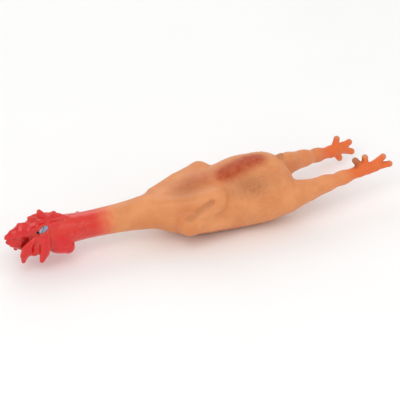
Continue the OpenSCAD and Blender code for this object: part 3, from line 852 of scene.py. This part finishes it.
def bump_tree(name):
    """Scatters little domes over the skin, more of them where its bumpy amount is high."""
    tree = bpy.data.node_groups.new(name, "GeometryNodeTree")
    face_in = tree.interface.new_socket("Skin", in_out="INPUT", socket_type="NodeSocketGeometry")
    count = tree.interface.new_socket("Per square metre", in_out="INPUT", socket_type="NodeSocketFloat")
    size = tree.interface.new_socket("Radius", in_out="INPUT", socket_type="NodeSocketFloat")
    seed = tree.interface.new_socket("Seed", in_out="INPUT", socket_type="NodeSocketInt")
    finish = tree.interface.new_socket("Finish", in_out="INPUT", socket_type="NodeSocketMaterial")
    tree.interface.new_socket("Bumps", in_out="OUTPUT", socket_type="NodeSocketGeometry")
    nodes, link = tree.nodes, tree.links.new
    entry, result = nodes.new("NodeGroupInput"), nodes.new("NodeGroupOutput")
    amount = nodes.new("GeometryNodeInputNamedAttribute")
    amount.data_type = "FLOAT"
    amount.inputs["Name"].default_value = "bumpy"
    spread = nodes.new("GeometryNodeDistributePointsOnFaces")
    spread.distribute_method = "POISSON"
    dome = nodes.new("GeometryNodeMeshUVSphere")
    dome.inputs["Segments"].default_value = 8
    dome.inputs["Rings"].default_value = 5
    flatten = nodes.new("GeometryNodeTransform")
    flatten.inputs["Scale"].default_value = (1, 1, 0.42)
    vary = nodes.new("FunctionNodeRandomValue")
    vary.data_type = "FLOAT"
    vary.inputs[2].default_value = 0.55
    vary.inputs[3].default_value = 1.15
    place = nodes.new("GeometryNodeInstanceOnPoints")
    real = nodes.new("GeometryNodeRealizeInstances")
    smooth = nodes.new("GeometryNodeSetShadeSmooth")
    coat = nodes.new("GeometryNodeSetMaterial")
    link(entry.outputs["Skin"], spread.inputs["Mesh"])
    link(entry.outputs["Per square metre"], spread.inputs["Density Max"])
    link(amount.outputs["Attribute"], spread.inputs["Density Factor"])
    link(entry.outputs["Radius"], spread.inputs["Distance Min"])
    link(entry.outputs["Seed"], spread.inputs["Seed"])
    link(entry.outputs["Radius"], dome.inputs["Radius"])
    link(dome.outputs["Mesh"], flatten.inputs["Geometry"])
    link(spread.outputs["Points"], place.inputs["Points"])
    link(flatten.outputs["Geometry"], place.inputs["Instance"])
    link(spread.outputs["Rotation"], place.inputs["Rotation"])
    link(vary.outputs[1], place.inputs["Scale"])
    link(place.outputs["Instances"], real.inputs["Geometry"])
    link(real.outputs["Geometry"], smooth.inputs["Geometry"])
    link(smooth.outputs["Geometry"], coat.inputs["Geometry"])
    link(entry.outputs["Finish"], coat.inputs["Material"])
    link(coat.outputs["Geometry"], result.inputs["Bumps"])
    return tree, {"skin": face_in, "count": count, "size": size, "seed": seed, "finish": finish}


def goose_bumps(name, piece, settings, material):
    """A plain mesh of bumps that sits on a piece of skin."""
    tree, sockets = bump_tree(name)
    source = show(name + "_source", piece.data.copy())
    modifier = source.modifiers.new("bumps", "NODES")
    modifier.node_group = tree
    values = {
        "count": settings.bumps_per_cm2 * 1e4, "size": settings.bump_size, "seed": settings.seed,
        "finish": material,
    }
    for key, value in values.items():
        modifier[sockets[key].identifier] = value
    bpy.context.view_layer.update()
    depsgraph = bpy.context.evaluated_depsgraph_get()
    mesh = bpy.data.meshes.new_from_object(source.evaluated_get(depsgraph))
    mesh.name = name
    bpy.data.objects.remove(source)
    bumps = show(name, mesh)
    return bumps


# ---- settings, operators and panel ----


class ChickenShape(bpy.types.PropertyGroup):
    wall: bpy.props.FloatProperty(
        name="Latex wall", description="Thickness of the latex in millimetres", default=2.0,
    )
    fine_step: bpy.props.FloatProperty(
        name="Fine step", description="Grid step for head and feet, mm", default=0.8,
    )
    coarse_step: bpy.props.FloatProperty(
        name="Coarse step", description="Grid step for the rest, mm", default=1.5,
    )
    comb_thickness: bpy.props.FloatProperty(
        name="Comb", description="Share of thickness in the comb", default=5.5,
    )
    wattle_thickness: bpy.props.FloatProperty(
        name="Wattle", description="Thickness of the wattles", default=6.2,
    )
    wattle_length: bpy.props.FloatProperty(
        name="Wattle drop", description="How far the wattles hang", default=1.0,
    )
    leg_radius: bpy.props.FloatProperty(name="Leg radius", description="Radius of a shank, mm", default=6.9)
    crease_softness: bpy.props.FloatProperty(
        name="Crease softness", description="Wing crease melt, mm", default=5.0,
    )


class ChickenBumps(bpy.types.PropertyGroup):
    bumps_per_cm2: bpy.props.FloatProperty(
        name="Bumps", description="Goose bumps on a square centimetre", default=9.0,
    )
    bump_size: bpy.props.FloatProperty(
        name="Bump radius", description="Radius of a goose bump", default=0.0009,
        unit="LENGTH", subtype="DISTANCE",
    )
    seed: bpy.props.IntProperty(name="Seed", description="Which scatter of bumps", default=5)


class ChickenStage(bpy.types.PropertyGroup):
    azimuth: bpy.props.FloatProperty(
        name="Azimuth", description="Camera turn round the chicken, degrees", default=-21.0,
    )
    elevation: bpy.props.FloatProperty(
        name="Elevation", description="Camera height angle, degrees", default=34.0,
    )
    distance: bpy.props.FloatProperty(
        name="Distance", description="Camera distance", default=5.0, unit="LENGTH",
    )
    width: bpy.props.FloatProperty(
        name="Width", description="Width that the frame takes in", default=0.4648, unit="LENGTH",
    )
    light: bpy.props.FloatProperty(name="Light", description="Strength of all the lamps", default=0.79)


STATE = {}


def current_chicken(context):
    """The sculpt for these settings, made once and then kept."""
    if "chicken" not in STATE:
        STATE["chicken"] = Chicken(context.scene.chicken_shape)
        STATE["latex"] = paint_latex("Painted latex")
    return STATE["chicken"]


def neck_cuts():
    middles = [(a + b) / 2 for a, b in zip(NECK_X, NECK_X[1:])]
    return [CHEST_CUT] + middles


def along_x(x, way):
    return np.array([x, 0, NECK_Z]), np.array([way, 0, 0.0])


class CHICKEN_OT_torso(bpy.types.Operator):
    """Mould the torso with its wings, thighs and tail nub"""

    bl_idname = "chicken.torso"
    bl_label = "Mould the torso"

    def execute(self, context):
        chicken, shape = current_chicken(context), context.scene.chicken_shape
        cuts = [along_x(CHEST_CUT, -1), along_x(HIP_CUT, 1)]
        low, high = (CHEST_CUT - 4, -TORSO_R - 14, -3), (HIP_CUT + 4, TORSO_R + 14, 2 * TORSO_R + 8)
        piece = skin(chicken, "torso_latex", low, high, shape.coarse_step, cuts)
        nodes = ["torso_skin", "back_panel", "back_flex", "tail_nub"]
        nodes += [f"{side}_{part}" for side in SIDES for part in ("wing", "hip")]
        finish_piece(piece, nodes, STATE["latex"])
        bumps = goose_bumps("torso_goose_bumps", piece, context.scene.chicken_bumps, STATE["latex"])
        for soft in (piece, bumps):
            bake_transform(soft)
        return {"FINISHED"}


class CHICKEN_OT_neck(bpy.types.Operator):
    """Mould the four bending stretches of the neck"""

    bl_idname = "chicken.neck"
    bl_label = "Mould the neck"

    def execute(self, context):
        chicken, shape = current_chicken(context), context.scene.chicken_shape
        places = neck_cuts()
        for k in range(1, 5):
            back, front = places[k - 1], places[k]
            cuts = [along_x(back, 1), along_x(front, -1)]
            room = CHEST_R + 8
            low, high = (front - 4, -room, NECK_Z - room), (back + 4, room, NECK_Z + room)
            piece = skin(chicken, f"neck_{k}_latex", low, high, shape.coarse_step, cuts)
            finish_piece(piece, [f"neck_flex_{k}", f"neck_{k}"], STATE["latex"])
            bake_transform(piece)
        return {"FINISHED"}


class CHICKEN_OT_head(bpy.types.Operator):
    """Mould the head with its beak, comb, wattles and cheeks"""

    bl_idname = "chicken.head"
    bl_label = "Mould the head"

    def execute(self, context):
        chicken, shape = current_chicken(context), context.scene.chicken_shape
        nape = neck_cuts()[-1]
        low, high = (FACE_X - 36, -34, NECK_Z - 36), (nape + 3, 34, NECK_Z + 42)
        piece = skin(chicken, "head_latex", low, high, shape.fine_step, [along_x(nape, 1)])
        nodes = ["head_flex", "head_skin", "upper_beak", "lower_beak", "comb"]
        nodes += [f"{side}_{part}" for side in SIDES for part in ("wattle", "cheek")]
        finish_piece(piece, nodes, STATE["latex"])
        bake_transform(piece)
        return {"FINISHED"}


class CHICKEN_OT_eyes(bpy.types.Operator):
    """Set a painted eye into each socket"""

    bl_idname = "chicken.eyes"
    bl_label = "Set the eyes"

    def execute(self, context):
        chicken = current_chicken(context)
        material = paint_eye("Eye paint")
        for side in SIDES:
            middle, axes = chicken.eyes[side]["middle"], chicken.eyes[side]["axes"]
            centre = middle - 2.6 * axes[2]
            form, low, high = ball(centre, (8.2, 4.7, 2.8), axes)
            step = 0.5
            places, quads = surface_net(form, low - 2, high + 2, step)
            places = settle(form, places, step)
            mesh = bpy.data.meshes.new(f"{side}_painted_eye")
            mesh.from_pydata((places * MM).tolist(), [], quads.tolist())
            mesh.shade_smooth()
            store = mesh.attributes.new("lies_at", "FLOAT_VECTOR", "POINT")
            store.data.foreach_set("vector", ((places - centre) @ axes.T).astype(np.float32).ravel())
            eye = show(mesh.name, mesh)
            finish_piece(eye, [f"{side}_eye"], material)
            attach(eye, "head")
        return {"FINISHED"}


class CHICKEN_OT_legs(bpy.types.Operator):
    """Mould both legs and their feet"""

    bl_idname = "chicken.legs"
    bl_label = "Mould the legs"

    def execute(self, context):
        chicken, shape = current_chicken(context), context.scene.chicken_shape
        for side in SIDES:
            points = leg_line(side)
            ends = [(np.array([HIP_CUT, *points[0][1:]]), np.array([1.0, 0, 0]))]
            for a, b in zip(points[:3], points[1:4]):
                ends.append(((a + b) / 2, (b - a) / np.linalg.norm(b - a)))
            parts = [
                ["hip_flex", "thigh"], ["thigh_flex", "knee"], ["hock_flex", "shank"],
                ["ankle_flex", "foot", "toes"],
            ]
            for k, nodes in enumerate(parts):
                self.mould(chicken, shape, side, points, ends, k, [f"{side}_{node}" for node in nodes])
        return {"FINISHED"}

    def mould(self, chicken, shape, side, points, ends, k, nodes):
        start, before = ends[k]
        cuts = [(start, -before)]
        if k < 3:
            end, after = ends[k + 1]
            cuts.append((end, after))
            pad = 34 if k == 0 else 19
            low, high = np.minimum(start, end) - pad, np.maximum(start, end) + pad
            low[0], high[0] = start[0] - 14, end[0] + 14
            if k == 0 and side == "left":
                high[1] = -0.6
            if k == 0 and side == "right":
                low[1] = 0.6
            step = (shape.coarse_step + shape.fine_step) / 2
        else:
            end = points[3] + 7 * chicken.feet[side]["along"]
            reach = np.array([start, *chicken.feet[side]["tips"]])
            low, high = reach.min(0) - 12, reach.max(0) + 12
            step = shape.fine_step
        part = ("hip", "thigh", "shank", "foot")[k]
        piece = skin(chicken, f"{side}_{part}_latex", low, high, step, cuts)
        finish_piece(piece, nodes, STATE["latex"])
        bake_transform(piece)


class CHICKEN_OT_squeaker(bpy.types.Operator):
    """Give the squeaker's own parts their plastics"""

    bl_idname = "chicken.squeaker"
    bl_label = "Finish the squeaker"

    def execute(self, context):
        white = moulded_plastic("Squeaker plastic", srgb(236, 233, 224), srgb(244, 242, 236), 0.3, 0.15)
        ivory = moulded_plastic("Reed plastic", srgb(238, 232, 208), srgb(244, 240, 222), 0.42, 0.2)
        amber = moulded_plastic("Tongue film", srgb(206, 164, 74), srgb(222, 182, 92), 0.25, 0.3)
        finishes = {
            "squeaker_barrel": white, "squeaker_guard": white, "reed_tube": ivory, "reed_wedge": ivory,
            "reed_tongue": amber,
        }
        for node, material in finishes.items():
            mesh = frame["nodes"][node].data
            mesh.materials.clear()
            mesh.materials.append(material)
        return {"FINISHED"}


class CHICKEN_OT_stage(bpy.types.Operator):
    """Lay the pale floor and set up the soft lamps and the camera"""

    bl_idname = "chicken.stage"
    bl_label = "Set the stage"

    def execute(self, context):
        stage = context.scene.chicken_stage
        aim = metres((CHEST_X + 62, 0, NECK_Z + 0.4))
        self.floor(aim)
        self.lamps(stage, aim)
        camera = bpy.data.objects.new("Camera", bpy.data.cameras.new("Camera"))
        context.scene.collection.objects.link(camera)
        turn, lift = math.radians(stage.azimuth), math.radians(stage.elevation)
        back = Vector((math.sin(turn) * math.cos(lift), -math.cos(turn) * math.cos(lift), math.sin(lift)))
        camera.location = aim + back * stage.distance
        camera.rotation_euler = (-back).to_track_quat("-Z", "Y").to_euler()
        camera.data.sensor_width = 36
        camera.data.lens = 36 * stage.distance / stage.width
        camera.data.clip_start, camera.data.clip_end = 0.02, 50
        context.scene.camera = camera
        context.scene.view_settings.view_transform = "Standard"
        return {"FINISHED"}

    def floor(self, aim):
        mesh = bpy.data.meshes.new("Floor")
        half = 6
        corners = [(-half, -half, 0), (half, -half, 0), (half, half, 0), (-half, half, 0)]
        mesh.from_pydata(corners, [], [(0, 1, 2, 3)])
        mesh.materials.append(paint_floor("Pale floor"))
        show("Floor", mesh)

    def lamps(self, stage, aim):
        world = bpy.data.worlds.new("Studio") if bpy.context.scene.world is None else bpy.context.scene.world
        bpy.context.scene.world = world
        world.use_nodes = True
        sky = world.node_tree.nodes["Background"]
        sky.inputs["Color"].default_value = (1, 1, 1, 1)
        sky.inputs["Strength"].default_value = 0.95 * stage.light
        lamps = [
            ("Key", (-0.75, -0.9, 1.35), 1.2, 12, (1, 0.985, 0.96)),
            ("Fill", (1.0, -0.7, 0.9), 1.2, 4, (0.97, 0.985, 1)),
            ("Rim", (0.1, 1.2, 1.1), 1.0, 5, (1, 1, 1)),
        ]
        for name, place, size, power, colour in lamps:
            lamp = bpy.data.objects.new(name, bpy.data.lights.new(name, "AREA"))
            bpy.context.scene.collection.objects.link(lamp)
            lamp.location = aim + Vector(place)
            lamp.rotation_euler = (-Vector(place)).to_track_quat("-Z", "Y").to_euler()
            lamp.data.size, lamp.data.energy, lamp.data.color = size, power * stage.light, colour


class CHICKEN_PT_panel(bpy.types.Panel):
    """Every setting and step of the chicken"""

    bl_label = "Rubber chicken"
    bl_idname = "CHICKEN_PT_panel"
    bl_space_type = "VIEW_3D"
    bl_region_type = "UI"
    bl_category = "Chicken"

    def draw(self, context):
        for group in ("chicken_shape", "chicken_bumps", "chicken_stage"):
            settings = getattr(context.scene, group)
            box = self.layout.box()
            for name in settings.__annotations__:
                box.prop(settings, name)
        for step in STEPS:
            self.layout.operator(step)


GROUPS = {"chicken_shape": ChickenShape, "chicken_bumps": ChickenBumps, "chicken_stage": ChickenStage}
OPERATORS = (
    CHICKEN_OT_torso, CHICKEN_OT_neck, CHICKEN_OT_head, CHICKEN_OT_eyes, CHICKEN_OT_legs, CHICKEN_OT_squeaker,
    CHICKEN_OT_stage,
)
STEPS = tuple(operator.bl_idname for operator in OPERATORS)


def register():
    for cls in (*GROUPS.values(), *OPERATORS, CHICKEN_PT_panel):
        bpy.utils.register_class(cls)
    for name, group in GROUPS.items():
        setattr(bpy.types.Scene, name, bpy.props.PointerProperty(type=group))


def unregister():
    for name in GROUPS:
        delattr(bpy.types.Scene, name)
    for cls in reversed((*GROUPS.values(), *OPERATORS, CHICKEN_PT_panel)):
        bpy.utils.unregister_class(cls)


def main():
    register()
    bpy.ops.chicken.torso()
    bpy.ops.chicken.neck()
    bpy.ops.chicken.head()
    bpy.ops.chicken.eyes()
    bpy.ops.chicken.legs()
    bpy.ops.chicken.squeaker()
    bpy.ops.chicken.stage()


if __name__ == "__main__":
    main()
